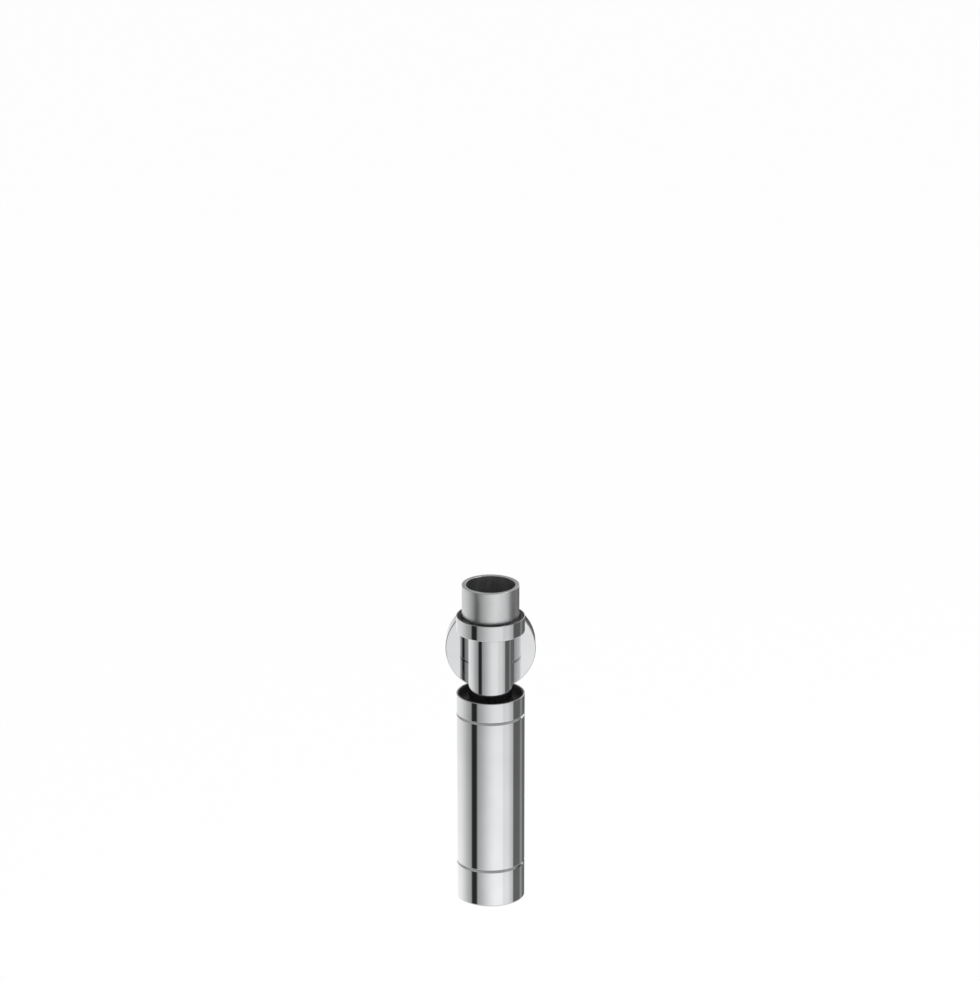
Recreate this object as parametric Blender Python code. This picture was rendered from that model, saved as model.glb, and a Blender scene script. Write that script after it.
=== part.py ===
"""Chromed bottle trap for a washbasin.

A tailpiece and a union nut carry the inlet tube, the tube drops through a gland into the bottle,
and a pipe leaves the back of the bottle for a rosette on the wall.
The origin is the middle of the tailpiece's top face, +Z is up and +Y points at the wall.
"""

import math

import bmesh
import bpy
from mathutils import Vector

# Clearances, in metres like every size below
SEAT_GAP = 0.0003       # between pieces that rest on each other
SLIDE_GAP = 0.0004      # round a tube that slides
THREAD_GAP = 0.0003     # between a male and a female thread
SEAM_GAP = 0.0004       # the dark line between two shells of the bottle

# Tubes and the thread of the basin waste
TUBE_DIAMETER = 0.032
TUBE_WALL = 0.001
TAIL_DIAMETER = 0.0419
TAIL_WALL = 0.003
TAIL_RISE = 0.024       # how far the tailpiece stands above the union nut

# Union nut at the inlet: a chromed cover over a threaded insert
NUT_HEIGHT = 0.0117
NUT_COVER_WALL = 0.0007
NUT_COVER_FLOOR = 0.0012
INSERT_WALL = 0.00275
INSERT_FLOOR = 0.0015
INSERT_RECESS = 0.0003  # top of the insert below the cover's lip
SLIP_RING = 0.0008
TUBE_FLANGE = 0.001
WASHER = 0.0014
WASHER_LAND = 0.0006    # how far the washer stands back from the bore
FLANGE_PLAY = 0.0006    # round the flange inside the insert's thread

# Inlet tube below the nut
TUBE_SHOWN = 0.0483     # from the nut to the rim of the collar
TUBE_DEPTH = 0.050      # from that rim to the tube's lower end

# Bottle shells, from the rim down
COLLAR_HEIGHT = 0.0149
COLLAR_WALL = 0.001
SHELL_LENGTH = 0.1161
SHELL_WALL = 0.0012
CUP_HEIGHT = 0.0281
CUP_WALL = 0.0016
CUP_FLOOR = 0.002
WATERWAY = 0.0063       # between the dip tube and the shell

# Gland that grips the inlet tube, and the neck it screws on
GLAND_DEPTH = 0.006     # from the rim to the gland nut's plate
GLAND_PLATE = 0.0022
LINER_DROP = 0.0004     # from the rim to the top of the gland nut's liner
LINER_WALL = 0.0007
GLAND_LIFT = 0.0004     # skirt of the gland nut above the collar's foot
GLAND_RING = 0.0009
NECK_STEP = 0.0019      # from the shell's bore in to the neck's thread
NECK_WALL = 0.0019
NECK_CLEAR = 0.0006     # from the gland nut's plate to the neck's end
NECK_FLOOR = 0.0025
NECK_SKIRT = 0.0075
NECK_SKIRT_WALL = 0.0016
DIP_WALL = 0.0011
DIP_FLANGE = 0.0015
WATER_SEAL = 0.056      # from the outlet's invert to the dip tube's end

# Thread and seal of the cup
BASE_RING_HEIGHT = 0.010
BASE_RING_WALL = 0.002
SPIGOT_HEIGHT = 0.008
SPIGOT_WALL = 0.002
GASKET_SECTION = 0.0015
GASKET_GROOVE = 0.0016

# Outlet socket, its nut and the pipe to the wall
OUTLET_DROP = 0.046     # from the rim to the outlet's axis
SOCKET_LENGTH = 0.027   # from the bottle's skin to the socket's mouth
SOCKET_SEAL = 0.0028
SOCKET_WALL = 0.00175
SOCKET_RELIEF = 0.002   # the socket's barrel below its thread
SOCKET_THREAD = 0.010
SEAL_LENGTH = 0.0045
OUTLET_RING = 0.0009
OUTLET_NUT_WALL = 0.00275
OUTLET_NUT_FLOOR = 0.0023
OUTLET_NUT_COVER = 0.009    # how much of the socket the nut covers
PIPE_PLAY = 0.006       # from the pipe's end to the shell
PIPE_IN_WALL = 0.040    # beyond the face of the wall

# Rosette on the wall
WALL_REACH = 0.223      # from the bottle's axis to the wall
ROSETTE_DIAMETER = 0.070
ROSETTE_DEPTH = 0.013
ROSETTE_WALL = 0.001
GRIP_RING_WALL = 0.003
GRIP_RING_LENGTH = 0.004
GRIP_POCKET_WALL = 0.001

# Edges
LIP_ROUND = 0.0004
EDGE_ROUND = 0.0009
SEAM_CHAMFER = 0.001
UNDER_CHAMFER = 0.0006
THREAD_CHAMFER = 0.0008
FLANGE_ROUND = 0.0006
ARC_STEPS = 2
SHELL_SEGMENTS = 40
RING_SEGMENTS = 32
GASKET_SIDES = 8
CUTTER_OVERRUN = 0.01

# Radii that follow from the sizes above
tube_r = TUBE_DIAMETER / 2
bore_r = tube_r - TUBE_WALL
slide_r = tube_r + SLIDE_GAP
ring_r = tube_r + SEAT_GAP
tail_r = TAIL_DIAMETER / 2
insert_bore_r = tail_r + THREAD_GAP
insert_r = insert_bore_r + INSERT_WALL
nut_r = insert_r + SEAT_GAP + NUT_COVER_WALL
flange_r = insert_bore_r - FLANGE_PLAY
dip_r = slide_r + DIP_WALL
shell_bore_r = dip_r + WATERWAY
bottle_r = shell_bore_r + SHELL_WALL
neck_skirt_r = shell_bore_r - SEAT_GAP
neck_r = shell_bore_r - NECK_STEP
pocket_r = neck_r - NECK_WALL
pocket_ring_r = pocket_r - SEAT_GAP
collar_bore_r = bottle_r - COLLAR_WALL
gland_r = collar_bore_r - SEAT_GAP
gland_bore_r = neck_r + THREAD_GAP
liner_bore_r = gland_r - LINER_WALL
base_bore_r = neck_skirt_r - BASE_RING_WALL
spigot_r = base_bore_r - THREAD_GAP
spigot_bore_r = spigot_r - SPIGOT_WALL
socket_bore_r = slide_r
socket_pocket_r = socket_bore_r + SOCKET_SEAL
socket_r = socket_pocket_r + SOCKET_WALL
socket_barrel_r = socket_r - SOCKET_RELIEF
outlet_nut_bore_r = socket_r + THREAD_GAP
outlet_nut_r = outlet_nut_bore_r + OUTLET_NUT_WALL
rosette_r = ROSETTE_DIAMETER / 2

# Heights of the vertical pieces, down from the tailpiece's top face
nut_top = -TAIL_RISE
nut_foot = nut_top - NUT_HEIGHT
insert_foot = nut_foot + NUT_COVER_FLOOR + SEAT_GAP
insert_top = nut_top - INSERT_RECESS
slip_foot = insert_foot + INSERT_FLOOR + SEAT_GAP
flange_foot = slip_foot + SLIP_RING + SEAT_GAP
washer_foot = flange_foot + TUBE_FLANGE + SEAT_GAP
tail_foot = washer_foot + WASHER + SEAT_GAP
rim = nut_foot - TUBE_SHOWN
tube_foot = rim - TUBE_DEPTH
collar_foot = rim - COLLAR_HEIGHT
liner_top = rim - LINER_DROP
plate_top = rim - GLAND_DEPTH
gland_under = plate_top - GLAND_PLATE
gland_foot = collar_foot + GLAND_LIFT
shell_top = collar_foot - SEAM_GAP
shell_foot = shell_top - SHELL_LENGTH
cup_top = shell_foot - SEAM_GAP
cup_foot = cup_top - CUP_HEIGHT
neck_top = gland_under - NECK_CLEAR
neck_seat = shell_top
gland_ring_foot = gland_under - SEAT_GAP - GLAND_RING
dip_top = neck_seat + SEAT_GAP + DIP_FLANGE
tube_seal_foot = dip_top + SEAT_GAP
tube_seal_height = gland_ring_foot - SEAT_GAP - tube_seal_foot
outlet_height = rim - OUTLET_DROP
dip_foot = outlet_height - bore_r - WATER_SEAL

# Distances along the outlet's axis, from the bottle's axis to the wall
socket_reach = bottle_r + SOCKET_LENGTH
pipe_start = bottle_r + PIPE_PLAY
pipe_end = WALL_REACH + PIPE_IN_WALL
socket_thread_start = socket_reach - SOCKET_THREAD
socket_pocket_start = socket_reach - SEAL_LENGTH - SEAT_GAP
outlet_ring_start = socket_reach + SEAT_GAP
outlet_nut_seat = outlet_ring_start + OUTLET_RING + SEAT_GAP
outlet_nut_start = socket_reach - OUTLET_NUT_COVER
rosette_face = WALL_REACH - ROSETTE_DEPTH


def clear_scene():
    for item in list(bpy.data.objects):
        bpy.data.objects.remove(item, do_unlink=True)


def finish(name, colour, roughness, metallic):
    material = bpy.data.materials.new(name)
    material.use_nodes = True
    shader = material.node_tree.nodes["Principled BSDF"]
    shader.inputs["Base Color"].default_value = (*colour, 1.0)
    shader.inputs["Roughness"].default_value = roughness
    shader.inputs["Metallic"].default_value = metallic
    return material


def axis_empty(name, location, rotation):
    empty = bpy.data.objects.new(name, None)
    empty.location = location
    empty.rotation_euler = rotation
    bpy.context.collection.objects.link(empty)
    return empty


def eased(corners):
    """Profile points from corners (radius, height) or (radius, height, round)."""
    spots = [Vector(corner[:2]) for corner in corners]
    points = []
    for index, corner in enumerate(corners):
        here = spots[index]
        if len(corner) == 2:
            points.append(here)
            continue
        back = spots[index - 1] - here
        ahead = spots[(index + 1) % len(spots)] - here
        half_turn = back.angle(ahead) / 2
        longest = min(back.length, ahead.length) / 2
        reach = min(corner[2] / math.tan(half_turn), longest)
        middle = (back.normalized() + ahead.normalized()).normalized()
        centre = here + middle * reach / math.cos(half_turn)
        arm = here + back.normalized() * reach - centre
        end = here + ahead.normalized() * reach - centre
        sweep = math.atan2(arm.x * end.y - arm.y * end.x, arm.dot(end))
        for step in range(ARC_STEPS + 1):
            angle = sweep * step / ARC_STEPS
            turned_arm = Vector((
                arm.x * math.cos(angle) - arm.y * math.sin(angle),
                arm.x * math.sin(angle) + arm.y * math.cos(angle),
            ))
            points.append(centre + turned_arm)
    return points


def turned(name, material, axis, start, corners, segments=SHELL_SEGMENTS):
    """Spin a profile about its axis; heights count from start, along the axis."""
    points = eased(corners)
    form = bmesh.new()
    verts = [form.verts.new((point.x, 0.0, point.y)) for point in points]
    edges = [form.edges.new(pair) for pair in zip(verts, verts[1:])]
    if points[0].x > 0:
        edges.append(form.edges.new((verts[-1], verts[0])))
    bmesh.ops.spin(form, geom=verts + edges, cent=(0, 0, 0), axis=(0, 0, 1),
                   angle=math.tau, steps=segments)
    bmesh.ops.remove_doubles(form, verts=form.verts, dist=1e-7)
    bmesh.ops.recalc_face_normals(form, faces=form.faces)
    mesh = bpy.data.meshes.new(name)
    form.to_mesh(mesh)
    form.free()
    mesh.shade_smooth()
    mesh.set_sharp_from_angle(angle=math.radians(35))
    mesh.materials.append(material)
    piece = bpy.data.objects.new(name, mesh)
    piece.parent = axis
    piece.location = (0.0, 0.0, start)
    bpy.context.collection.objects.link(piece)
    return piece


def cut_with_cylinder(piece, axis, radius, start, end):
    """Take a round bar along an axis out of a piece."""
    bar = turned(piece.name + "_cutter", piece.data.materials[0], axis, start, [
        (0.0, end - start),
        (radius, end - start),
        (radius, 0.0),
        (0.0, 0.0),
    ])
    bar.hide_render = True
    bar.display_type = "WIRE"
    cut = piece.modifiers.new("cut", "BOOLEAN")
    cut.operation = "DIFFERENCE"
    cut.solver = "EXACT"
    cut.object = bar


def flat_ring(name, material, axis, start, inner_r, outer_r, thickness):
    return turned(name, material, axis, start, [
        (outer_r, thickness),
        (outer_r, 0.0),
        (inner_r, 0.0),
        (inner_r, thickness),
    ], RING_SEGMENTS)


def seam_shell(name, material, axis, foot, height, outer_r, inner_r, top_edge):
    """A plain shell of the bottle; its lower edge is chamfered towards the seam."""
    return turned(name, material, axis, foot, [
        (inner_r, height),
        *top_edge,
        (outer_r, UNDER_CHAMFER),
        (outer_r - UNDER_CHAMFER, 0.0),
        (inner_r, 0.0),
    ])


def build_inlet(axis, chrome, satin, black, nylon, rubber):
    """Tailpiece, union nut and the flanged tube that the nut holds."""
    tail_height = -tail_foot
    turned("tailpiece", satin, axis, tail_foot, [
        (tail_r - TAIL_WALL, tail_height, LIP_ROUND),
        (tail_r, tail_height, LIP_ROUND),
        (tail_r, THREAD_CHAMFER),
        (tail_r - THREAD_CHAMFER, 0.0),
        (tail_r - TAIL_WALL, 0.0),
    ])
    flat_ring("inlet_washer", rubber, axis, washer_foot, bore_r + WASHER_LAND, flange_r, WASHER)
    tube_top = flange_foot + TUBE_FLANGE - tube_foot
    turned("inlet_tube", chrome, axis, tube_foot, [
        (bore_r, tube_top, FLANGE_ROUND),
        (flange_r, tube_top),
        (flange_r, tube_top - TUBE_FLANGE),
        (tube_r, tube_top - TUBE_FLANGE, SEAT_GAP / 2),
        (tube_r, 0.0, LIP_ROUND),
        (bore_r, 0.0),
    ])
    flat_ring("inlet_slip_ring", nylon, axis, slip_foot, ring_r, flange_r, SLIP_RING)
    insert_height = insert_top - insert_foot
    turned("inlet_nut_insert", black, axis, insert_foot, [
        (insert_bore_r + THREAD_CHAMFER, insert_height),
        (insert_r, insert_height, LIP_ROUND),
        (insert_r, 0.0),
        (slide_r, 0.0),
        (slide_r, INSERT_FLOOR),
        (insert_bore_r, INSERT_FLOOR),
        (insert_bore_r, insert_height - THREAD_CHAMFER),
    ])
    cover_bore_r = nut_r - NUT_COVER_WALL
    turned("inlet_nut_cover", chrome, axis, nut_foot, [
        (cover_bore_r, NUT_HEIGHT),
        (nut_r, NUT_HEIGHT, LIP_ROUND),
        (nut_r, 0.0, EDGE_ROUND),
        (slide_r, 0.0),
        (slide_r, NUT_COVER_FLOOR),
        (cover_bore_r, NUT_COVER_FLOOR),
    ])


def build_gland(axis, chrome, black, nylon, rubber):
    """Collar and gland nut on the bottle's neck, with the seal that grips the inlet tube."""
    turned("tube_seal", rubber, axis, tube_seal_foot, [
        (pocket_ring_r, tube_seal_height),
        (pocket_ring_r, 0.0),
        (ring_r, 0.0),
        (ring_r, tube_seal_height / 2),
        ((ring_r + pocket_ring_r) / 2, tube_seal_height),
    ], RING_SEGMENTS)
    flat_ring("gland_slip_ring", nylon, axis, gland_ring_foot, ring_r, pocket_ring_r, GLAND_RING)
    plate_height = plate_top - gland_foot
    liner_height = liner_top - gland_foot
    turned("gland_nut", black, axis, gland_foot, [
        (slide_r, plate_height, LIP_ROUND),
        (liner_bore_r, plate_height),
        (liner_bore_r, liner_height),
        (gland_r, liner_height),
        (gland_r, 0.0),
        (gland_bore_r, 0.0),
        (gland_bore_r, plate_height - GLAND_PLATE),
        (slide_r, plate_height - GLAND_PLATE),
    ])
    seam_shell("collar_cover", chrome, axis, collar_foot, COLLAR_HEIGHT, bottle_r, collar_bore_r, [
        (bottle_r, COLLAR_HEIGHT, LIP_ROUND),
    ])


def build_bottle(axis, outlet_axis, chrome, nickel, black):
    """Bottle shell with its two brazed rings, and the dip tube hung in the neck."""
    dip_height = dip_top - dip_foot
    turned("dip_tube", black, axis, dip_foot, [
        (slide_r, dip_height),
        (pocket_ring_r, dip_height),
        (pocket_ring_r, dip_height - DIP_FLANGE),
        (dip_r, dip_height - DIP_FLANGE),
        (dip_r, 0.0),
        (slide_r, 0.0),
    ])
    neck_height = neck_top - shell_top
    skirt_bore_r = neck_skirt_r - NECK_SKIRT_WALL
    turned("neck_ring", nickel, axis, shell_top, [
        (pocket_r, neck_height),
        (neck_r - THREAD_CHAMFER, neck_height),
        (neck_r, neck_height - THREAD_CHAMFER),
        (neck_r, 0.0),
        (neck_skirt_r, -SEAM_CHAMFER),
        (neck_skirt_r, -NECK_SKIRT),
        (skirt_bore_r, -NECK_SKIRT),
        (skirt_bore_r, -NECK_FLOOR),
        (dip_r + SEAT_GAP, -NECK_FLOOR),
        (dip_r + SEAT_GAP, 0.0),
        (pocket_r, 0.0),
    ])
    shell = seam_shell("bottle_shell", chrome, axis, shell_foot, SHELL_LENGTH, bottle_r, shell_bore_r, [
        (bottle_r - SEAM_CHAMFER, SHELL_LENGTH),
        (bottle_r, SHELL_LENGTH - SEAM_CHAMFER),
    ])
    cut_with_cylinder(shell, outlet_axis, bore_r, 0.0, bottle_r + CUTTER_OVERRUN)
    flat_ring("base_ring", nickel, axis, shell_foot, base_bore_r, neck_skirt_r, BASE_RING_HEIGHT)


def build_cup(axis, chrome, rubber):
    """Cup that unscrews from the bottle for cleaning, and the ring that seals it."""
    groove_r = spigot_r + GASKET_SECTION + 2 * SEAT_GAP
    cup_bore_r = bottle_r - CUP_WALL
    turned("cup", chrome, axis, cup_foot, [
        (0.0, 0.0),
        (bottle_r, 0.0, EDGE_ROUND),
        (bottle_r, CUP_HEIGHT - SEAM_CHAMFER),
        (bottle_r - SEAM_CHAMFER, CUP_HEIGHT),
        (groove_r, CUP_HEIGHT),
        (groove_r, CUP_HEIGHT - GASKET_GROOVE),
        (spigot_r, CUP_HEIGHT - GASKET_GROOVE),
        (spigot_r, CUP_HEIGHT + SPIGOT_HEIGHT - THREAD_CHAMFER),
        (spigot_r - THREAD_CHAMFER, CUP_HEIGHT + SPIGOT_HEIGHT),
        (spigot_bore_r, CUP_HEIGHT + SPIGOT_HEIGHT),
        (spigot_bore_r, CUP_HEIGHT - GASKET_GROOVE - CUP_WALL),
        (cup_bore_r, CUP_HEIGHT - GASKET_GROOVE - CUP_WALL - (cup_bore_r - spigot_bore_r)),
        (cup_bore_r, CUP_FLOOR, EDGE_ROUND),
        (0.0, CUP_FLOOR),
    ])
    section_r = GASKET_SECTION / 2
    ring_middle_r = spigot_r + SEAT_GAP + section_r
    gasket_foot = cup_top - GASKET_GROOVE + SEAT_GAP
    turns = [math.tau * (side + 0.5) / GASKET_SIDES for side in range(GASKET_SIDES)]
    turned("cup_gasket", rubber, axis, gasket_foot, [
        (ring_middle_r + section_r * math.cos(turn), section_r - section_r * math.sin(turn))
        for turn in turns
    ], RING_SEGMENTS)


def build_outlet(axis, upright, chrome, nylon, rubber):
    """Socket brazed on the bottle's back, its compression nut and the pipe to the wall."""
    socket = turned("outlet_socket", chrome, axis, 0.0, [
        (socket_pocket_r, socket_reach),
        (socket_bore_r, socket_pocket_start),
        (socket_bore_r, 0.0),
        (socket_barrel_r, 0.0),
        (socket_barrel_r, socket_thread_start - SOCKET_RELIEF),
        (socket_r, socket_thread_start),
        (socket_r, socket_reach - THREAD_CHAMFER),
        (socket_r - THREAD_CHAMFER, socket_reach),
    ])
    cut_with_cylinder(socket, upright, bottle_r + SEAT_GAP,
                      outlet_height - socket_r - CUTTER_OVERRUN,
                      outlet_height + socket_r + CUTTER_OVERRUN)
    pocket_slope = (socket_pocket_r - socket_bore_r) / (socket_reach - socket_pocket_start)
    seal_start = socket_pocket_start + 2 * SEAT_GAP / pocket_slope
    seal_length = socket_reach - seal_start
    turned("outlet_seal", rubber, axis, seal_start, [
        (ring_r, seal_length),
        (ring_r, 0.0),
        (ring_r + pocket_slope * SEAT_GAP, 0.0),
        (socket_pocket_r - 2 * SEAT_GAP, seal_length),
    ], RING_SEGMENTS)
    flat_ring("outlet_slip_ring", nylon, axis, outlet_ring_start,
              ring_r, socket_r - SEAT_GAP, OUTLET_RING)
    nut_depth = outlet_nut_seat - outlet_nut_start
    nut_length = nut_depth + OUTLET_NUT_FLOOR
    turned("outlet_nut", chrome, axis, outlet_nut_start, [
        (slide_r, nut_length),
        (outlet_nut_r, nut_length, EDGE_ROUND),
        (outlet_nut_r, 0.0, LIP_ROUND),
        (outlet_nut_bore_r + THREAD_CHAMFER, 0.0),
        (outlet_nut_bore_r, THREAD_CHAMFER),
        (outlet_nut_bore_r, nut_depth),
        (slide_r, nut_depth),
    ])
    pipe_length = pipe_end - pipe_start
    turned("outlet_pipe", chrome, axis, pipe_start, [
        (bore_r, pipe_length),
        (tube_r, pipe_length, LIP_ROUND),
        (tube_r, 0.0, LIP_ROUND),
        (bore_r, 0.0),
    ])


def build_rosette(axis, chrome, rubber):
    """Dish that hides the hole in the wall; a rubber ring in its pocket grips the pipe."""
    rosette_bore_r = rosette_r - ROSETTE_WALL
    grip_r = ring_r + GRIP_RING_WALL
    pocket_bore_r = grip_r + SEAT_GAP
    pocket_depth = ROSETTE_WALL + SEAT_GAP + GRIP_RING_LENGTH
    turned("rosette", chrome, axis, rosette_face, [
        (rosette_bore_r, ROSETTE_DEPTH),
        (rosette_bore_r, ROSETTE_WALL, EDGE_ROUND - LIP_ROUND),
        (pocket_bore_r + GRIP_POCKET_WALL, ROSETTE_WALL),
        (pocket_bore_r + GRIP_POCKET_WALL, pocket_depth),
        (pocket_bore_r, pocket_depth),
        (pocket_bore_r, ROSETTE_WALL),
        (slide_r, ROSETTE_WALL),
        (slide_r, 0.0),
        (rosette_r, 0.0, EDGE_ROUND),
        (rosette_r, ROSETTE_DEPTH),
    ])
    flat_ring("rosette_grip_ring", rubber, axis, rosette_face + ROSETTE_WALL + SEAT_GAP,
              ring_r, grip_r, GRIP_RING_LENGTH)


def main():
    clear_scene()
    chrome = finish("chrome", (0.80, 0.81, 0.82), 0.05, 1.0)
    satin = finish("satin_chrome", (0.74, 0.75, 0.76), 0.22, 1.0)
    nickel = finish("nickel", (0.62, 0.60, 0.56), 0.30, 1.0)
    black = finish("black_plastic", (0.018, 0.018, 0.020), 0.45, 0.0)
    nylon = finish("nylon", (0.72, 0.71, 0.66), 0.50, 0.0)
    rubber = finish("rubber", (0.022, 0.022, 0.023), 0.70, 0.0)
    upright = axis_empty("upright_axis", (0.0, 0.0, 0.0), (0.0, 0.0, 0.0))
    outlet_axis = axis_empty("outlet_axis", (0.0, 0.0, outlet_height), (-math.pi / 2, 0.0, 0.0))
    build_inlet(upright, chrome, satin, black, nylon, rubber)
    build_gland(upright, chrome, black, nylon, rubber)
    build_bottle(upright, outlet_axis, chrome, nickel, black)
    build_cup(upright, chrome, rubber)
    build_outlet(outlet_axis, upright, chrome, nylon, rubber)
    build_rosette(outlet_axis, chrome, rubber)


main()
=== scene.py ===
import math

import bmesh
import bpy
from mathutils import Matrix, Vector


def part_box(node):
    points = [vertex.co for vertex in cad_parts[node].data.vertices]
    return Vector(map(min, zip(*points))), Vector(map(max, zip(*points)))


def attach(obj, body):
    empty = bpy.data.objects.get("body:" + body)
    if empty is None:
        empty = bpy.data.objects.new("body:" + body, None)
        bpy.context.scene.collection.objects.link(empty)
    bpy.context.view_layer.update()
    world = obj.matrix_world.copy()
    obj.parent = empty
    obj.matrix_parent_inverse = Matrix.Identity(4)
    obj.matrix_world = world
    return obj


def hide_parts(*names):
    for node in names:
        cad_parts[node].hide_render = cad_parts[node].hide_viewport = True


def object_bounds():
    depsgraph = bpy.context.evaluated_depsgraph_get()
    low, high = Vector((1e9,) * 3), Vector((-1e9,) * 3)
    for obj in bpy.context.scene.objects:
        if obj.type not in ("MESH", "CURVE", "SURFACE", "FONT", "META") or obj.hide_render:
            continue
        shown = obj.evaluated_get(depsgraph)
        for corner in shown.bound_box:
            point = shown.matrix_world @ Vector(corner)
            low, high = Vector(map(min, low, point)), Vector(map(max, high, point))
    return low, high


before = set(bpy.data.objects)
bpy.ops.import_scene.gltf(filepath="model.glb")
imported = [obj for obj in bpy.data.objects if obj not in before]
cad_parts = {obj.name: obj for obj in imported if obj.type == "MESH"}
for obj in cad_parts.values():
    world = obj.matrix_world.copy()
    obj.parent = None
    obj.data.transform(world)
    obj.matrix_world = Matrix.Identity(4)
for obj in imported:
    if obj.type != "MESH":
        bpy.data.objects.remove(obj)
cadLow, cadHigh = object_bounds()
print("frame loaded:", len(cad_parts), "nodes")


# shader maths: a wire is an output socket, and sums on wires add Math nodes

class Wire:
    def __init__(self, tree, socket):
        self.tree = tree
        self.socket = socket

    def add(self, kind, settings, values, out=0):
        node = self.tree.nodes.new(kind)
        for key, value in settings.items():  # settings first, since they change the sockets
            setattr(node, key, value)
        for key, value in values.items():
            if isinstance(value, Wire):
                self.tree.links.new(value.socket, node.inputs[key])
            else:
                node.inputs[key].default_value = value
        return Wire(self.tree, node.outputs[out])

    def maths(self, operation, first, second):
        return self.add("ShaderNodeMath", {"operation": operation}, {0: first, 1: second})

    def __add__(self, other):
        return self.maths("ADD", self, other)

    def __radd__(self, other):
        return self.maths("ADD", other, self)

    def __sub__(self, other):
        return self.maths("SUBTRACT", self, other)

    def __rsub__(self, other):
        return self.maths("SUBTRACT", other, self)

    def __mul__(self, other):
        return self.maths("MULTIPLY", self, other)

    def __rmul__(self, other):
        return self.maths("MULTIPLY", other, self)

    def step(self, low, high):  # smooth 0 to 1 between two values
        return self.add("ShaderNodeMapRange", {"interpolation_type": "SMOOTHSTEP"},
                        {"Value": self, "From Min": low, "From Max": high})


def newFinish(name):
    material = bpy.data.materials.new(name)
    material.use_nodes = True
    tree = material.node_tree
    shader = tree.nodes["Principled BSDF"]
    start = Wire(tree, None)
    place = start.add("ShaderNodeTexCoord", {}, {}, out=3)  # object space, in metres
    return material, tree, shader, place


def noiseAt(place, scale, detail, stretch=(1.0, 1.0, 1.0)):
    stretched = place.add("ShaderNodeMapping", {}, {"Vector": place, "Scale": stretch})
    return place.add("ShaderNodeTexNoise", {}, {"Vector": stretched, "Scale": scale, "Detail": detail})


def blendColours(mask, first, second):
    return mask.add("ShaderNodeMix", {"data_type": "RGBA"},
                    {0: mask, 6: (*first, 1.0), 7: (*second, 1.0)}, out=2)


def bumpFrom(height, strength, distance):
    return height.add("ShaderNodeBump", {}, {"Strength": strength, "Distance": distance, "Height": height})


def plug(tree, wire, shader, socketName):
    tree.links.new(wire.socket, shader.inputs[socketName])


# finishes: noise scales per metre, depths of bump in metres

metalWear = {"cloud": 38.0, "smudge": 140.0, "lines": 900.0, "bump": 0.00002}
metalLooks = {
    "polishedChrome": {"pale": (0.578, 0.583, 0.588), "deep": (0.552, 0.557, 0.563),
                       "roughness": 0.016, "haze": 0.016, "lines": 0.006, "stretch": (1, 1, 60)},
    "pipeChrome": {"pale": (0.578, 0.583, 0.588), "deep": (0.552, 0.557, 0.563),
                   "roughness": 0.016, "haze": 0.016, "lines": 0.006, "stretch": (1, 60, 1)},
    "satinChrome": {"pale": (0.605, 0.61, 0.615), "deep": (0.57, 0.575, 0.58),
                    "roughness": 0.31, "haze": 0.08, "lines": 0.05, "stretch": (1, 1, 60)},
    "turnedNickel": {"pale": (0.60, 0.57, 0.52), "deep": (0.52, 0.49, 0.44),
                     "roughness": 0.24, "haze": 0.14, "lines": 0.10, "stretch": (1, 1, 60)},
}


def makeMetal(name):
    look = metalLooks[name]
    material, tree, shader, place = newFinish(name)
    shader.inputs["Metallic"].default_value = 1.0
    cloud = noiseAt(place, metalWear["cloud"], 3.0)    # slow change in the plating's tone
    smudge = noiseAt(place, metalWear["smudge"], 4.0)  # wiped haze
    lines = noiseAt(place, metalWear["lines"], 2.0, look["stretch"])  # polishing lines round the axis
    tone = blendColours(cloud.step(0.35, 0.65), look["deep"], look["pale"])
    haze = smudge.step(0.45, 0.75)
    roughness = look["roughness"] + haze * look["haze"] + lines * (look["lines"] * 0.5)
    plug(tree, tone, shader, "Base Color")
    plug(tree, roughness, shader, "Roughness")
    plug(tree, bumpFrom(lines, look["lines"], metalWear["bump"]), shader, "Normal")
    return material


mouldedWear = {"bloom": 95.0, "bump": 0.00003}
mouldedLooks = {
    "blackPlastic": {"pale": (0.042, 0.042, 0.046), "deep": (0.025, 0.025, 0.028),
                     "roughness": 0.40, "spread": 0.20, "grain": 2600.0, "bump": 0.10, "shine": 0.2},
    "naturalNylon": {"pale": (0.76, 0.75, 0.70), "deep": (0.66, 0.64, 0.57),
                     "roughness": 0.38, "spread": 0.22, "grain": 1800.0, "bump": 0.06, "shine": 0.5},
    "sealRubber": {"pale": (0.034, 0.033, 0.033), "deep": (0.016, 0.016, 0.017),
                   "roughness": 0.58, "spread": 0.24, "grain": 3400.0, "bump": 0.18, "shine": 0.4},
}


def makeMoulded(name):
    look = mouldedLooks[name]
    material, tree, shader, place = newFinish(name)
    shader.inputs["Specular IOR Level"].default_value = look["shine"]
    bloom = noiseAt(place, mouldedWear["bloom"], 4.0)  # faint bloom and handling marks
    grain = noiseAt(place, look["grain"], 2.0)         # spark-eroded mould grain
    plug(tree, blendColours(bloom.step(0.3, 0.7), look["deep"], look["pale"]), shader, "Base Color")
    plug(tree, look["roughness"] + bloom * look["spread"], shader, "Roughness")
    plug(tree, bumpFrom(grain, look["bump"], mouldedWear["bump"]), shader, "Normal")
    return material


finishes = {name: makeMetal(name) for name in metalLooks}
finishes.update({name: makeMoulded(name) for name in mouldedLooks})
print("finishes made:", ", ".join(finishes))


# turned pieces: a profile of (radius, along, round) spun about the inlet or the outlet axis

turning = {"segments": 192, "arcSteps": 6, "support": 0.00012, "rowsPerTurn": 12, "threadSlack": 0.00005,
           "sharpAngle": 40.0}
socketLow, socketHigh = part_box("outlet_socket")
outletHeight = (socketLow.z + socketHigh.z) / 2
uprightAxis = Matrix.Identity(4)
outletAxis = Matrix.Translation((0, 0, outletHeight)) @ Matrix.Rotation(-math.pi / 2, 4, "X")


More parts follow.
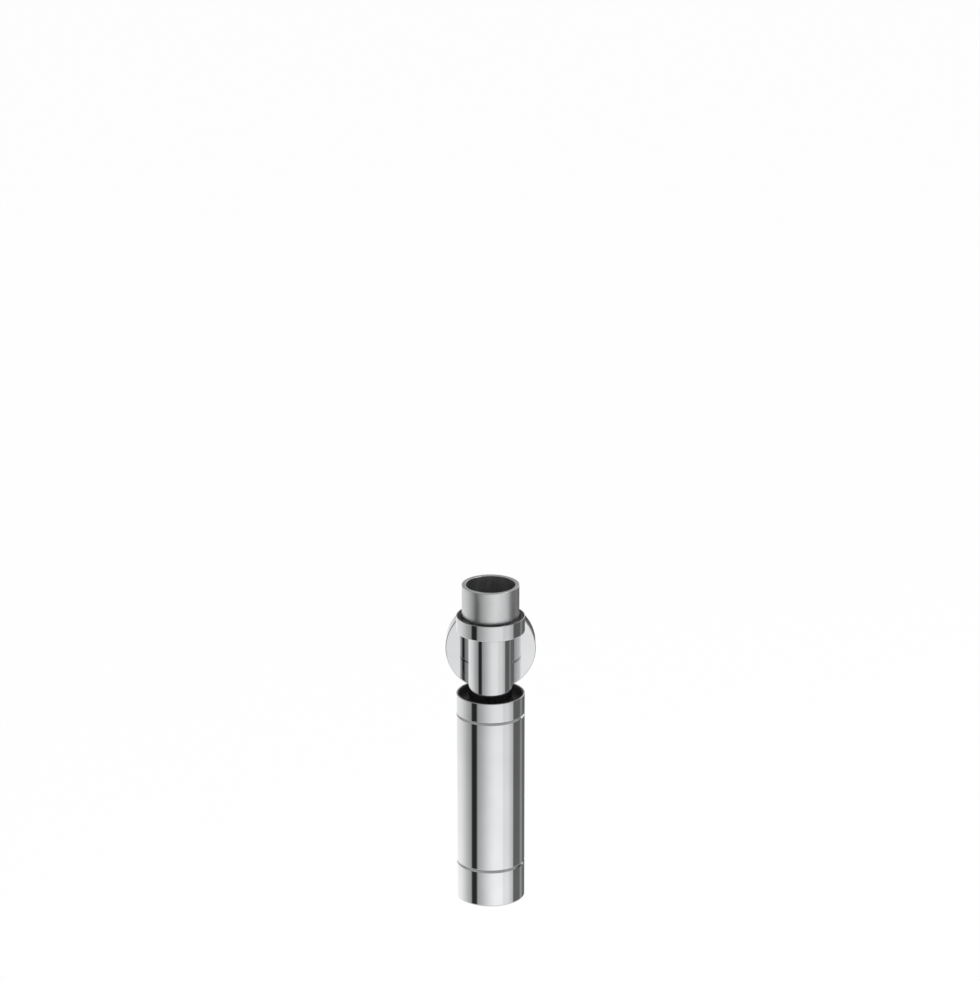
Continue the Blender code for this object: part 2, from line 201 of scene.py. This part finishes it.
def easedProfile(corners):
    spots = [Vector(corner[:2]) for corner in corners]
    points = []
    for index, corner in enumerate(corners):
        here = spots[index]
        ease = corner[2] if len(corner) > 2 else 0.0
        if ease == 0.0:
            points.append(here)
            continue
        back = spots[index - 1] - here
        ahead = spots[(index + 1) % len(spots)] - here
        halfTurn = back.angle(ahead) / 2
        reach = min(ease / math.tan(halfTurn), back.length * 0.49, ahead.length * 0.49)
        middle = (back.normalized() + ahead.normalized()).normalized()
        centre = here + middle * (reach / math.cos(halfTurn))
        arm = here + back.normalized() * reach - centre
        end = here + ahead.normalized() * reach - centre
        sweep = math.atan2(arm.x * end.y - arm.y * end.x, arm.dot(end))
        for step in range(turning["arcSteps"] + 1):
            spin = Matrix.Rotation(sweep * step / turning["arcSteps"], 2)
            points.append(centre + spin @ arm)
    return points


def supportedProfile(points, closed, thread):
    # short steps beside each corner keep the long faces flat in reflections
    support = turning["support"]
    out = []
    pairs = list(zip(points, points[1:] + points[:1])) if closed else list(zip(points, points[1:]))
    for start, end in pairs:
        length = (end - start).length
        out.append(start)
        if length < 4 * support:
            continue
        shares = [support / length, 1 - support / length]
        if thread and onThread(start, thread) and onThread(end, thread):
            rows = max(2, int(length / thread["pitch"] * turning["rowsPerTurn"]))
            shares = [row / rows for row in range(1, rows)]
        out.extend(start.lerp(end, share) for share in shares)
    if not closed:
        out.append(points[-1])
    return out


def onThread(point, thread):
    slack = turning["threadSlack"]
    inside = thread["start"] - slack <= point.y <= thread["end"] + slack
    return inside and abs(point.x - thread["radius"]) < slack


def threadCut(point, angle, thread):
    # right-hand helix, faded out over half a pitch at both ends
    pitch = thread["pitch"]
    phase = point.y / pitch - angle / math.tau
    ends = min(point.y - thread["start"], thread["end"] - point.y) / (0.5 * pitch)
    fade = max(0.0, min(1.0, ends))
    return thread["depth"] * fade * (0.5 - 0.5 * math.cos(math.tau * phase))


def ringAt(point, thread):  # one point on the axis, or a ring with the thread cut into it
    if point.x < 1e-7:
        return [Vector((0, 0, point.y))]
    cutting = thread is not None and onThread(point, thread)
    ring = []
    for side in range(turning["segments"]):
        angle = math.tau * side / turning["segments"]
        radius = point.x - (threadCut(point, angle, thread) if cutting else 0.0)
        ring.append(Vector((radius * math.cos(angle), radius * math.sin(angle), point.y)))
    return ring


def meshFromRings(name, rings, axis, closed):
    segments = turning["segments"]
    form = bmesh.new()
    rows = [[form.verts.new(axis @ spot) for spot in ring] for ring in rings]
    pairs = list(zip(rows, rows[1:])) + ([(rows[-1], rows[0])] if closed else [])
    for upper, lower in pairs:
        for side in range(segments):
            beside = (side + 1) % segments
            if len(upper) == 1:
                form.faces.new((upper[0], lower[beside], lower[side]))
            elif len(lower) == 1:
                form.faces.new((upper[side], upper[beside], lower[0]))
            else:
                form.faces.new((upper[side], upper[beside], lower[beside], lower[side]))
    bmesh.ops.recalc_face_normals(form, faces=form.faces)
    mesh = bpy.data.meshes.new(name)
    form.to_mesh(mesh)
    form.free()
    return mesh


def spunMesh(name, points, axis, closed, thread):
    return meshFromRings(name, [ringAt(point, thread) for point in points], axis, closed)


def smoothShaded(mesh):
    mesh.shade_smooth()
    mesh.set_sharp_from_angle(angle=math.radians(turning["sharpAngle"]))


def placePiece(name, mesh, finish, body, node):
    mesh.materials.clear()
    mesh.materials.append(finishes[finish])
    smoothShaded(mesh)
    piece = bpy.data.objects.new(name, mesh)
    bpy.context.scene.collection.objects.link(piece)
    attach(piece, body)
    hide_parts(node)
    return piece


def turnedPiece(name, node, body, finish, corners, axis=uprightAxis, thread=None):
    closed = corners[0][0] > 0
    points = supportedProfile(easedProfile(corners), closed, thread)
    mesh = spunMesh(name, points, axis, closed, thread)
    return placePiece(name, mesh, finish, body, node)


def upright(node):  # outer radius, foot and top of a node on the inlet axis
    low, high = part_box(node)
    return (high.x - low.x) / 2, low.z, high.z


def along(node):    # outer radius, start and end of a node on the outlet axis
    low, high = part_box(node)
    return (high.x - low.x) / 2, low.y, high.y


def ringPiece(name, node, body, finish, inner, ease, lies=upright):  # a plain ring, edges eased
    outer, start, end = lies(node)
    turnedPiece(name, node, body, finish, [
        (inner, end, ease["inner"]),
        (outer, end, ease["outer"]),
        (outer, start, ease["outer"]),
        (inner, start, ease["inner"]),
    ], axis=outletAxis if lies is along else uprightAxis)


def threadOn(kind, radius, start, end, inside=False):  # inside a nut the ridges stand inwards
    return {"pitch": kind["pitch"], "depth": -kind["depth"] if inside else kind["depth"],
            "radius": radius, "start": start, "end": end}


tube = {"outer": 0.016, "bore": 0.015, "hole": 0.0164, "ring": 0.0163}
inchThread = {"pitch": 0.002309, "depth": 0.0009}     # pipe thread of the two union nuts
fineThread = {"pitch": 0.002, "depth": 0.0008}        # thread of the gland nut and of the cup
slipRing = {"inner": 0.00015, "outer": 0.00015}       # eased edges of the three slip rings


# inlet: tailpiece, union nut, tube

tail = {"wall": 0.003, "lip": 0.0005, "lead": 0.0008, "threadLength": 0.0042}
tailR, tailFoot, tailTop = upright("tailpiece")
turnedPiece("Tailpiece", "tailpiece", "inlet", "satinChrome", [
    (tailR - tail["wall"], tailTop, tail["lip"]),
    (tailR, tailTop, tail["lip"]),
    (tailR, tailFoot + tail["threadLength"]),
    (tailR, tailFoot + tail["lead"]),
    (tailR - tail["lead"], tailFoot),
    (tailR - tail["wall"], tailFoot),
], thread=threadOn(inchThread, tailR, tailFoot + tail["lead"], tailFoot + tail["threadLength"]))

washer = {"land": 0.0006, "inner": 0.0002, "outer": 0.0002}
ringPiece("InletWasher", "inlet_washer", "inlet", "sealRubber", tube["bore"] + washer["land"], washer)

flange = {"thickness": 0.001, "mouth": 0.0006, "under": 0.0002, "end": 0.0003}
flangeR, tubeFoot, tubeTop = upright("inlet_tube")
turnedPiece("InletTube", "inlet_tube", "inlet", "polishedChrome", [
    (tube["bore"], tubeTop, flange["mouth"]),
    (flangeR, tubeTop, flange["under"]),
    (flangeR, tubeTop - flange["thickness"], flange["under"]),
    (tube["outer"], tubeTop - flange["thickness"], flange["under"]),
    (tube["outer"], tubeFoot, flange["end"]),
    (tube["bore"], tubeFoot, flange["end"]),
])

ringPiece("InletSlipRing", "inlet_slip_ring", "inlet_ring", "naturalNylon", tube["ring"], slipRing)

insert = {"wall": 0.00275, "floor": 0.0015, "lead": 0.0008, "lip": 0.0003}
insertR, insertFoot, insertTop = upright("inlet_nut_insert")
insertBore = insertR - insert["wall"]
turnedPiece("InletNutInsert", "inlet_nut_insert", "inlet_nut", "blackPlastic", [
    (insertBore + insert["lead"], insertTop, insert["lip"]),
    (insertR, insertTop, insert["lip"]),
    (insertR, insertFoot, insert["lip"]),
    (tube["hole"], insertFoot),
    (tube["hole"], insertFoot + insert["floor"]),
    (insertBore, insertFoot + insert["floor"]),
    (insertBore, insertTop - insert["lead"]),
], thread=threadOn(inchThread, insertBore, insertFoot + insert["floor"], insertTop - insert["lead"],
                   inside=True))

nutCover = {"wall": 0.0007, "floor": 0.0012, "lip": 0.0002, "edge": 0.0006, "hole": 0.0003}
nutR, nutFoot, nutTop = upright("inlet_nut_cover")
turnedPiece("InletNutCover", "inlet_nut_cover", "inlet_nut", "polishedChrome", [
    (nutR - nutCover["wall"], nutTop, nutCover["lip"]),
    (nutR, nutTop, nutCover["lip"]),
    (nutR, nutFoot, nutCover["edge"]),
    (tube["hole"], nutFoot, nutCover["hole"]),
    (tube["hole"], nutFoot + nutCover["floor"]),
    (nutR - nutCover["wall"], nutFoot + nutCover["floor"]),
])
print("inlet made")


# gland: collar, gland nut and the seal on the tube

tubeSeal = {"ease": 0.0002}
sealR, sealFoot, sealTop = upright("tube_seal")
turnedPiece("TubeSeal", "tube_seal", "tube_grip", "sealRubber", [
    (sealR, sealTop, tubeSeal["ease"]),
    (sealR, sealFoot, tubeSeal["ease"]),
    (tube["ring"], sealFoot, tubeSeal["ease"]),
    (tube["ring"], (sealFoot + sealTop) / 2),
    ((tube["ring"] + sealR) / 2, sealTop),
])

ringPiece("GlandSlipRing", "gland_slip_ring", "gland_ring", "naturalNylon", tube["ring"], slipRing)

gland = {"skirt": 0.0015, "depth": 0.006, "plate": 0.0022, "liner": 0.0007, "lip": 0.0004, "root": 0.0003,
         "rim": 0.0002}
bottleR, collarFoot, rimTop = upright("collar_cover")
glandR, glandFoot, linerTop = upright("gland_nut")
plateTop = rimTop - gland["depth"]
glandBore = glandR - gland["skirt"]
turnedPiece("GlandNut", "gland_nut", "collar", "blackPlastic", [
    (tube["hole"], plateTop, gland["lip"]),
    (glandR - gland["liner"], plateTop, gland["root"]),
    (glandR - gland["liner"], linerTop, gland["rim"]),
    (glandR, linerTop, gland["rim"]),
    (glandR, glandFoot),
    (glandBore, glandFoot),
    (glandBore, plateTop - gland["plate"]),
    (tube["hole"], plateTop - gland["plate"]),
], thread=threadOn(fineThread, glandBore, glandFoot, plateTop - gland["plate"], inside=True))

collar = {"wall": 0.001, "lip": 0.00035, "under": 0.0006}
turnedPiece("CollarCover", "collar_cover", "collar", "polishedChrome", [
    (bottleR - collar["wall"], rimTop, collar["lip"]),
    (bottleR, rimTop, collar["lip"]),
    (bottleR, collarFoot, collar["under"]),
    (bottleR - collar["wall"], collarFoot),
])
print("gland made")


# bottle: dip tube, neck, shell, base ring

dip = {"outer": 0.0175, "flange": 0.0015, "ease": 0.0003, "under": 0.0002}
dipFlangeR, dipFoot, dipTop = upright("dip_tube")
turnedPiece("DipTube", "dip_tube", "bottle", "blackPlastic", [
    (tube["hole"], dipTop, dip["ease"]),
    (dipFlangeR, dipTop, dip["ease"]),
    (dipFlangeR, dipTop - dip["flange"], dip["under"]),
    (dip["outer"], dipTop - dip["flange"], dip["under"]),
    (dip["outer"], dipFoot, dip["ease"]),
    (tube["hole"], dipFoot, dip["ease"]),
])

neck = {"thread": 0.0219, "pocket": 0.0200, "floor": 0.0025, "skirtWall": 0.0016, "skirt": 0.0075,
        "lead": 0.0008, "seam": 0.001, "hole": 0.0178, "mouth": 0.0002}
neckSkirtR, neckFoot, neckTop = upright("neck_ring")
neckSeat = neckFoot + neck["skirt"]
turnedPiece("NeckRing", "neck_ring", "bottle", "turnedNickel", [
    (neck["pocket"], neckTop, neck["mouth"]),
    (neck["thread"] - neck["lead"], neckTop),
    (neck["thread"], neckTop - neck["lead"]),
    (neck["thread"], neckSeat),
    (neckSkirtR, neckSeat - neck["seam"]),
    (neckSkirtR, neckFoot),
    (neckSkirtR - neck["skirtWall"], neckFoot),
    (neckSkirtR - neck["skirtWall"], neckSeat - neck["floor"]),
    (neck["hole"], neckSeat - neck["floor"]),
    (neck["hole"], neckSeat),
    (neck["pocket"], neckSeat),
], thread=threadOn(fineThread, neck["thread"], neckSeat, neckTop - neck["lead"]))

shell = {"wall": 0.0012, "seam": 0.001, "seamRise": 0.0014, "under": 0.0006, "lip": 0.0002,
         "edge": 0.0003, "bore": 0.015, "drillReach": 1.4}
shellR, shellFoot, shellTop = upright("bottle_shell")


def makeShell():
    corners = [
        (shellR - shell["wall"], shellTop),
        (shellR - shell["seam"], shellTop, shell["lip"]),
        (shellR, shellTop - shell["seamRise"], shell["edge"]),
        (shellR, shellFoot, shell["under"]),
        (shellR - shell["wall"], shellFoot),
    ]
    points = supportedProfile(easedProfile(corners), True, None)
    mesh = spunMesh("BottleShell", points, uprightAxis, True, None)
    reach = shellR * shell["drillReach"]
    bar = [(0.0, reach), (shell["bore"], reach), (shell["bore"], 0.0), (0.0, 0.0)]
    barMesh = spunMesh("outletBar", [Vector(point) for point in bar], outletAxis, False, None)
    whole = bpy.data.objects.new("shellBlank", mesh)
    drill = bpy.data.objects.new("outletDrill", barMesh)
    for item in (whole, drill):
        bpy.context.scene.collection.objects.link(item)
    cut = whole.modifiers.new("cut", "BOOLEAN")
    cut.object = drill
    cut.solver = "EXACT"
    graph = bpy.context.evaluated_depsgraph_get()
    drilled = bpy.data.meshes.new_from_object(whole.evaluated_get(graph))
    bpy.data.objects.remove(whole)
    bpy.data.objects.remove(drill)
    placePiece("BottleShell", drilled, "polishedChrome", "bottle", "bottle_shell")


makeShell()

base = {"wall": 0.002, "top": 0.0003, "mouth": 0.0004, "lead": 0.0005}
baseR, baseFoot, baseTop = upright("base_ring")
turnedPiece("BaseRing", "base_ring", "bottle", "turnedNickel", [
    (baseR - base["wall"], baseTop),
    (baseR, baseTop, base["top"]),
    (baseR, baseFoot),
    (baseR - base["wall"], baseFoot, base["mouth"]),
], thread=threadOn(fineThread, baseR - base["wall"], baseFoot + base["lead"], baseTop, inside=True))
print("bottle made")


# cup and its gasket

cup = {"wall": 0.0016, "floor": 0.002, "seam": 0.001, "seamRise": 0.0014, "edge": 0.0009, "lip": 0.0002,
       "spigot": 0.0212, "spigotBore": 0.0192, "spigotHeight": 0.008, "lead": 0.0008, "groove": 0.0233,
       "grooveDepth": 0.0016, "mouth": 0.0003, "shoulder": 0.0006, "root": 0.0016}
cupR, cupFoot, spigotTop = upright("cup")
cupTop = spigotTop - cup["spigotHeight"]
ledge = cupTop - cup["grooveDepth"]
cupBore = cupR - cup["wall"]
turnedPiece("Cup", "cup", "cup", "polishedChrome", [
    (0.0, cupFoot),
    (cupR, cupFoot, cup["edge"]),
    (cupR, cupTop - cup["seamRise"], cup["mouth"]),
    (cupR - cup["seam"], cupTop, cup["lip"]),
    (cup["groove"], cupTop),
    (cup["groove"], ledge),
    (cup["spigot"], ledge),
    (cup["spigot"], spigotTop - cup["lead"]),
    (cup["spigot"] - cup["lead"], spigotTop),
    (cup["spigotBore"], spigotTop, cup["mouth"]),
    (cup["spigotBore"], ledge - cup["wall"], cup["shoulder"]),
    (cupBore, ledge - cup["wall"] - (cupBore - cup["spigotBore"]), cup["shoulder"]),
    (cupBore, cupFoot + cup["floor"], cup["root"]),
    (0.0, cupFoot + cup["floor"]),
], thread=threadOn(fineThread, cup["spigot"], ledge, spigotTop - cup["lead"]))

gasket = {"sides": 24}
gasketR, gasketFoot, gasketTop = upright("cup_gasket")
gasketSection = (gasketTop - gasketFoot) / 2
gasketMiddle = gasketR - gasketSection
turnedPiece("CupGasket", "cup_gasket", "cup_ring", "sealRubber", [
    (gasketMiddle + gasketSection * math.cos(math.tau * side / gasket["sides"]),
     gasketFoot + gasketSection - gasketSection * math.sin(math.tau * side / gasket["sides"]))
    for side in range(gasket["sides"])
])
print("cup made")


# outlet: socket with its brazed foot, seal, nut and pipe

socket = {"bore": 0.0164, "pocket": 0.0192, "seal": 0.0048, "thread": 0.010, "relief": 0.002, "lead": 0.0008,
          "fillet": 0.0022, "filletSteps": 8, "lift": 0.0003}
socketR, _, socketEnd = along("outlet_socket")


def makeSocket():
    # the foot follows the shell's round back, with a braze fillet rolled out of the barrel
    segments = turning["segments"]
    barrel = socketR - socket["relief"]
    threadStart = socketEnd - socket["thread"]
    thread = threadOn(inchThread, socketR, threadStart, socketEnd - socket["lead"])
    corners = [
        (barrel, threadStart - socket["relief"]),
        (socketR, threadStart),
        (socketR, socketEnd - socket["lead"]),
        (socketR - socket["lead"], socketEnd),
        (socket["pocket"], socketEnd),
        (socket["bore"], socketEnd - socket["seal"]),
    ]
    points = supportedProfile([Vector(corner) for corner in corners], False, thread)
    skinR = bottleR + socket["lift"]

    def foot(radius, angle, rise):
        side = radius * math.cos(angle)
        return Vector((side, radius * math.sin(angle), math.sqrt(skinR ** 2 - side ** 2) + rise))

    rings = []
    for step in range(socket["filletSteps"] + 1):
        turn = 0.5 * math.pi * step / socket["filletSteps"]
        radius = barrel + socket["fillet"] * (1 - math.sin(turn))
        rise = socket["fillet"] * (1 - math.cos(turn))
        rings.append([foot(radius, math.tau * side / segments, rise) for side in range(segments)])
    rings.extend(ringAt(point, thread) for point in points)
    rings.append([foot(socket["bore"], math.tau * side / segments, 0.0) for side in range(segments)])
    mesh = meshFromRings("OutletSocket", rings, outletAxis, True)
    placePiece("OutletSocket", mesh, "pipeChrome", "bottle", "outlet_socket")


makeSocket()

outletSeal = {"tip": 0.00018, "ease": 0.0001}
outletSealR, outletSealStart, outletSealEnd = along("outlet_seal")
turnedPiece("OutletSeal", "outlet_seal", "bottle", "sealRubber", [
    (tube["ring"], outletSealEnd, outletSeal["ease"]),
    (tube["ring"], outletSealStart),
    (tube["ring"] + outletSeal["tip"], outletSealStart),
    (outletSealR, outletSealEnd, outletSeal["ease"]),
], axis=outletAxis)

ringPiece("OutletSlipRing", "outlet_slip_ring", "outlet_ring", "naturalNylon", tube["ring"], slipRing, along)

outletNut = {"wall": 0.00275, "floor": 0.0023, "edge": 0.0009, "lip": 0.0004, "lead": 0.0008, "hole": 0.0003}
outletNutR, outletNutStart, outletNutEnd = along("outlet_nut")
outletNutBore = outletNutR - outletNut["wall"]
turnedPiece("OutletNut", "outlet_nut", "outlet_nut", "pipeChrome", [
    (tube["hole"], outletNutEnd, outletNut["hole"]),
    (outletNutR, outletNutEnd, outletNut["edge"]),
    (outletNutR, outletNutStart, outletNut["lip"]),
    (outletNutBore + outletNut["lead"], outletNutStart),
    (outletNutBore, outletNutStart + outletNut["lead"]),
    (outletNutBore, outletNutEnd - outletNut["floor"]),
    (tube["hole"], outletNutEnd - outletNut["floor"]),
], axis=outletAxis, thread=threadOn(inchThread, outletNutBore, outletNutStart + outletNut["lead"],
                                    outletNutEnd - outletNut["floor"], inside=True))

pipe = {"inner": 0.0002, "outer": 0.0004}
ringPiece("OutletPipe", "outlet_pipe", "pipe", "pipeChrome", tube["bore"], pipe, along)
print("outlet made")


# rosette on the wall

rosette = {"wall": 0.001, "edge": 0.0008, "inner": 0.0005, "rim": 0.0002, "hole": 0.0003,
           "pocket": 0.0196, "pocketWall": 0.001, "pocketDepth": 0.0053, "root": 0.0004}
rosetteR, rosetteFace, rosetteBack = along("rosette")
turnedPiece("Rosette", "rosette", "rosette", "polishedChrome", [
    (rosetteR - rosette["wall"], rosetteBack, rosette["rim"]),
    (rosetteR - rosette["wall"], rosetteFace + rosette["wall"], rosette["inner"]),
    (rosette["pocket"] + rosette["pocketWall"], rosetteFace + rosette["wall"], rosette["root"]),
    (rosette["pocket"] + rosette["pocketWall"], rosetteFace + rosette["pocketDepth"], rosette["rim"]),
    (rosette["pocket"], rosetteFace + rosette["pocketDepth"], rosette["rim"]),
    (rosette["pocket"], rosetteFace + rosette["wall"]),
    (tube["hole"], rosetteFace + rosette["wall"]),
    (tube["hole"], rosetteFace, rosette["hole"]),
    (rosetteR, rosetteFace, rosette["edge"]),
    (rosetteR, rosetteBack, rosette["rim"]),
], axis=outletAxis)

grip = {"inner": 0.0004, "outer": 0.0004}
ringPiece("RosetteGripRing", "rosette_grip_ring", "rosette", "sealRubber", tube["ring"], grip, along)
print("rosette made")


# studio: white ground and sky, and a light tent with a black flag left and a dark bank right

studio = {
    "drop": 0.40, "groundSize": 14.0, "groundGlow": 0.85, "groundTone": 0.95,
    "sky": 0.95,
    "tentRadius": 0.9, "tentSides": 96, "tentRows": 48, "tentLevel": -0.12, "tentTone": 0.51,
    # middle in degrees from the camera's side (right positive), half width, soft edge, brightness
    "panels": {
        "frontKey": (27.0, 6.0, 75.0, 1.42),
        "sideKey": (52.0, 6.0, 8.0, 1.20),
        "leftBack": (-150.0, 26.0, 63.0, 1.26),
        "rightBank": (128.0, 43.0, 6.0, 0.19),
        "rightStrip": (125.0, 3.0, 9.0, 0.41),
        "blackFlag": (-56.0, 6.5, 8.0, 0.035),
    },
    "overhead": 0.50, "overheadFrom": 0.20, "overheadTo": 0.45,
    "rimLight": (0.546, 0.779, 0.309), "rimLightWidth": 0.955, "rimLightSoft": 0.04, "rimLightTone": 1.25,
    "fallOff": 0.84, "fallOffFrom": -0.44,
    "hem": 0.98, "hemFrom": -0.58, "hemTo": -0.505,
    "lampPower": 12.0, "lampSize": 0.7, "lampPlace": (1.5, -0.6, 1.3), "lampAim": (0, 0, -0.1),
}


def skyMask(wire):  # rays that look straight at the surroundings, or see them in metal or glass
    camera = wire.add("ShaderNodeLightPath", {}, {}, out="Is Camera Ray")
    glossy = wire.add("ShaderNodeLightPath", {}, {}, out="Is Glossy Ray")
    through = wire.add("ShaderNodeLightPath", {}, {}, out="Is Transmission Ray")
    return wire.maths("MAXIMUM", camera, wire.maths("MAXIMUM", glossy, through))


def makeWorld():
    world = bpy.data.worlds.new("studio")
    bpy.context.scene.world = world
    world.use_nodes = True
    tree = world.node_tree
    tree.nodes.clear()
    start = Wire(tree, None)
    strength = studio["sky"] + skyMask(start) * (1.0 - studio["sky"])
    background = start.add("ShaderNodeBackground", {}, {"Color": (1, 1, 1, 1), "Strength": strength})
    output = tree.nodes.new("ShaderNodeOutputWorld")
    tree.links.new(background.socket, output.inputs["Surface"])


def makeGround():
    level = cadLow.z - studio["drop"]
    half = studio["groundSize"] / 2
    mesh = bpy.data.meshes.new("ground")
    corners = [(-half, -half, level), (half, -half, level), (half, half, level), (-half, half, level)]
    mesh.from_pydata(corners, [], [(0, 1, 2, 3)])
    ground = bpy.data.objects.new("ground", mesh)
    bpy.context.scene.collection.objects.link(ground)
    material = bpy.data.materials.new("whiteGround")
    material.use_nodes = True
    tree = material.node_tree
    tree.nodes.clear()
    start = Wire(tree, None)
    paint = start.add("ShaderNodeBsdfDiffuse", {}, {"Color": (*[studio["groundTone"]] * 3, 1)})
    glow = start.add("ShaderNodeEmission", {}, {"Color": (1, 1, 1, 1), "Strength": 1.0})
    share = skyMask(start) * studio["groundGlow"]
    mixed = start.add("ShaderNodeMixShader", {}, {0: share, 1: paint, 2: glow})
    output = tree.nodes.new("ShaderNodeOutputMaterial")
    tree.links.new(mixed.socket, output.inputs["Surface"])
    mesh.materials.append(material)


def makeTent():
    # hidden from the camera and from diffuse light: it is what the chrome shows
    form = bmesh.new()
    bmesh.ops.create_uvsphere(form, u_segments=studio["tentSides"], v_segments=studio["tentRows"],
                              radius=studio["tentRadius"])
    mesh = bpy.data.meshes.new("tent")
    form.to_mesh(mesh)
    form.free()
    mesh.shade_smooth()
    tent = bpy.data.objects.new("tent", mesh)
    tent.location = (0.0, 0.0, studio["tentLevel"])
    bpy.context.scene.collection.objects.link(tent)
    material = bpy.data.materials.new("tentCloth")
    material.use_nodes = True
    tree = material.node_tree
    tree.nodes.clear()
    start = Wire(tree, None)
    spot = start.add("ShaderNodeTexCoord", {}, {}, out="Object")
    toward = spot.add("ShaderNodeVectorMath", {"operation": "NORMALIZE"}, {0: spot})
    sideways = toward.add("ShaderNodeSeparateXYZ", {}, {0: toward}, out="X")
    depth = toward.add("ShaderNodeSeparateXYZ", {}, {0: toward}, out="Y")
    height = toward.add("ShaderNodeSeparateXYZ", {}, {0: toward}, out="Z")
    azimuth = sideways.maths("ARCTAN2", sideways, 0 - depth) * math.degrees(1.0)
    light = 0 * azimuth + studio["tentTone"]  # plain cloth, then the panels on it
    for middle, half, soft, brightness in studio["panels"].values():
        away = {0: azimuth - middle, 1: 180.0, 2: -180.0}
        turned = light.add("ShaderNodeMath", {"operation": "WRAP"}, away)
        mask = 1 - light.maths("ABSOLUTE", turned, 0.0).step(half, half + soft)
        light = light + mask * (brightness - light)
    light = light * (1 - studio["fallOff"] * (height - studio["fallOffFrom"]))  # dimmer towards the top
    hem = 1 - height.step(studio["hemFrom"], studio["hemTo"])  # runs into the white ground
    light = light + hem * (studio["hem"] - light)
    top = height.step(studio["overheadFrom"], studio["overheadTo"])
    light = light + top * (studio["overhead"] - light)
    aim = Vector(studio["rimLight"]).normalized()
    facing = toward.add("ShaderNodeVectorMath", {"operation": "DOT_PRODUCT"},
                        {0: toward, 1: aim}, out="Value")
    lit = facing.step(studio["rimLightWidth"] - studio["rimLightSoft"], studio["rimLightWidth"])
    light = light + lit * (studio["rimLightTone"] - light)
    cloth = light.add("ShaderNodeEmission", {}, {"Color": light, "Strength": 1.0})
    output = tree.nodes.new("ShaderNodeOutputMaterial")
    tree.links.new(cloth.socket, output.inputs["Surface"])
    mesh.materials.append(material)
    tent.visible_camera = False
    tent.visible_diffuse = False
    tent.visible_shadow = False


def makeLamp():
    lamp = bpy.data.lights.new("softbox", "AREA")
    lamp.shape = "DISK"
    lamp.size = studio["lampSize"]
    lamp.energy = studio["lampPower"]
    item = bpy.data.objects.new("softbox", lamp)
    item.location = studio["lampPlace"]
    aim = Vector(studio["lampAim"]) - item.location
    item.rotation_euler = aim.to_track_quat("-Z", "Y").to_euler()
    bpy.context.scene.collection.objects.link(item)


view = {"place": (-0.0004, -3.3615, 1.2353), "pitch": 19.092, "lens": 181.28, "sensor": 36.0,
        "farthest": 100.0}


def makeCamera():
    data = bpy.data.cameras.new("photoView")
    data.lens = view["lens"]
    data.sensor_width = view["sensor"]
    data.clip_end = view["farthest"]
    camera = bpy.data.objects.new("photoView", data)
    camera.location = view["place"]
    camera.rotation_euler = (math.radians(90.0 - view["pitch"]), 0.0, 0.0)
    bpy.context.scene.collection.objects.link(camera)
    bpy.context.scene.camera = camera


makeWorld()
makeGround()
makeTent()
makeLamp()
makeCamera()
bpy.context.scene.view_settings.view_transform = "Standard"
print("studio made")
